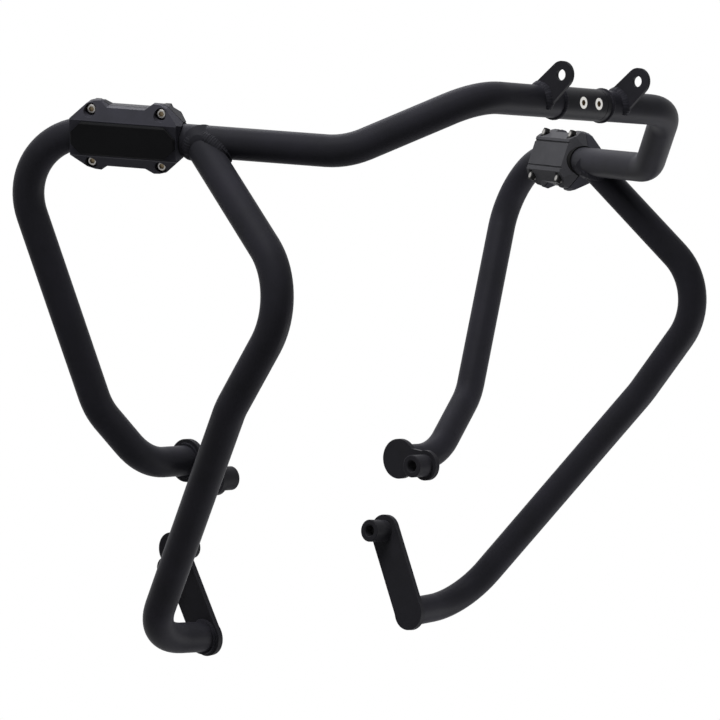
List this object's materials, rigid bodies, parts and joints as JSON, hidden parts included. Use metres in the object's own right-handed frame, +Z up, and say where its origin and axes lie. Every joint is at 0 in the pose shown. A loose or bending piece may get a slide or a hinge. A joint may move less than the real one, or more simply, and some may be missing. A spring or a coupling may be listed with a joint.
{
  "type": "motorcycle crash bar set",
  "caption": "Tubular crash bars in two mirrored halves joined at the front, with looped side tubes, frame brackets with bosses and bolted slider blocks",
  "frame": {"origin": "middle of the common axis of the two front tab holes, on the middle plane of the bars", "axes": "X across the motorcycle, the far half on +X; -Y to the front of the motorcycle, +Y to the rear; +Z up"},
  "size_m": [0.6452, 0.368, 0.4847],
  "materials": {
    "bar_coat": "satin black powder coat with a fine texture",
    "bracket_coat": "satin black powder coat",
    "joint_coat": "satin black coat on turned steel",
    "weld_coat": "satin black powder coat over weld ripples",
    "shell_coat": "satin black coat on cast alloy",
    "back_coat": "satin dark grey coat on cast alloy",
    "pad_plastic": "deep matt black",
    "liner_rubber": "matt black",
    "nut_black": "black oxide",
    "fastener_steel": "bright stainless"
  },
  "bodies": {
    "root": {"loop_tube_near": "bar_coat", "loop_tube_far": "bar_coat", "branch_tube_near": "bar_coat", "branch_tube_far": "bar_coat", "front_tab_near": "bracket_coat", "front_tab_far": "bracket_coat", "joint_socket": "joint_coat", "joint_spigot": "joint_coat", "joint_screws": "fastener_steel", "upper_bracket_near": "bracket_coat", "upper_bracket_far": "bracket_coat", "lower_bracket_near": "bracket_coat", "lower_bracket_far": "bracket_coat", "upper_boss_near": "bracket_coat", "upper_boss_far": "bracket_coat", "lower_boss_near": "bracket_coat", "lower_boss_far": "bracket_coat", "outer_stub_near": "bracket_coat", "block_shell_near": "shell_coat", "block_shell_far": "shell_coat", "block_back_near": "back_coat", "block_back_far": "back_coat", "block_pad_near": "pad_plastic", "block_pad_far": "pad_plastic", "block_liner_near": "liner_rubber", "block_liner_far": "liner_rubber", "block_screws_near": "fastener_steel", "block_screws_far": "fastener_steel", "block_nuts_near": "nut_black", "block_nuts_far": "nut_black", "joint_welds": "weld_coat", "tab_welds": "weld_coat", "branch_weld_near": "weld_coat", "branch_weld_far": "weld_coat", "bracket_welds": "weld_coat"}
  },
  "joints": []
}
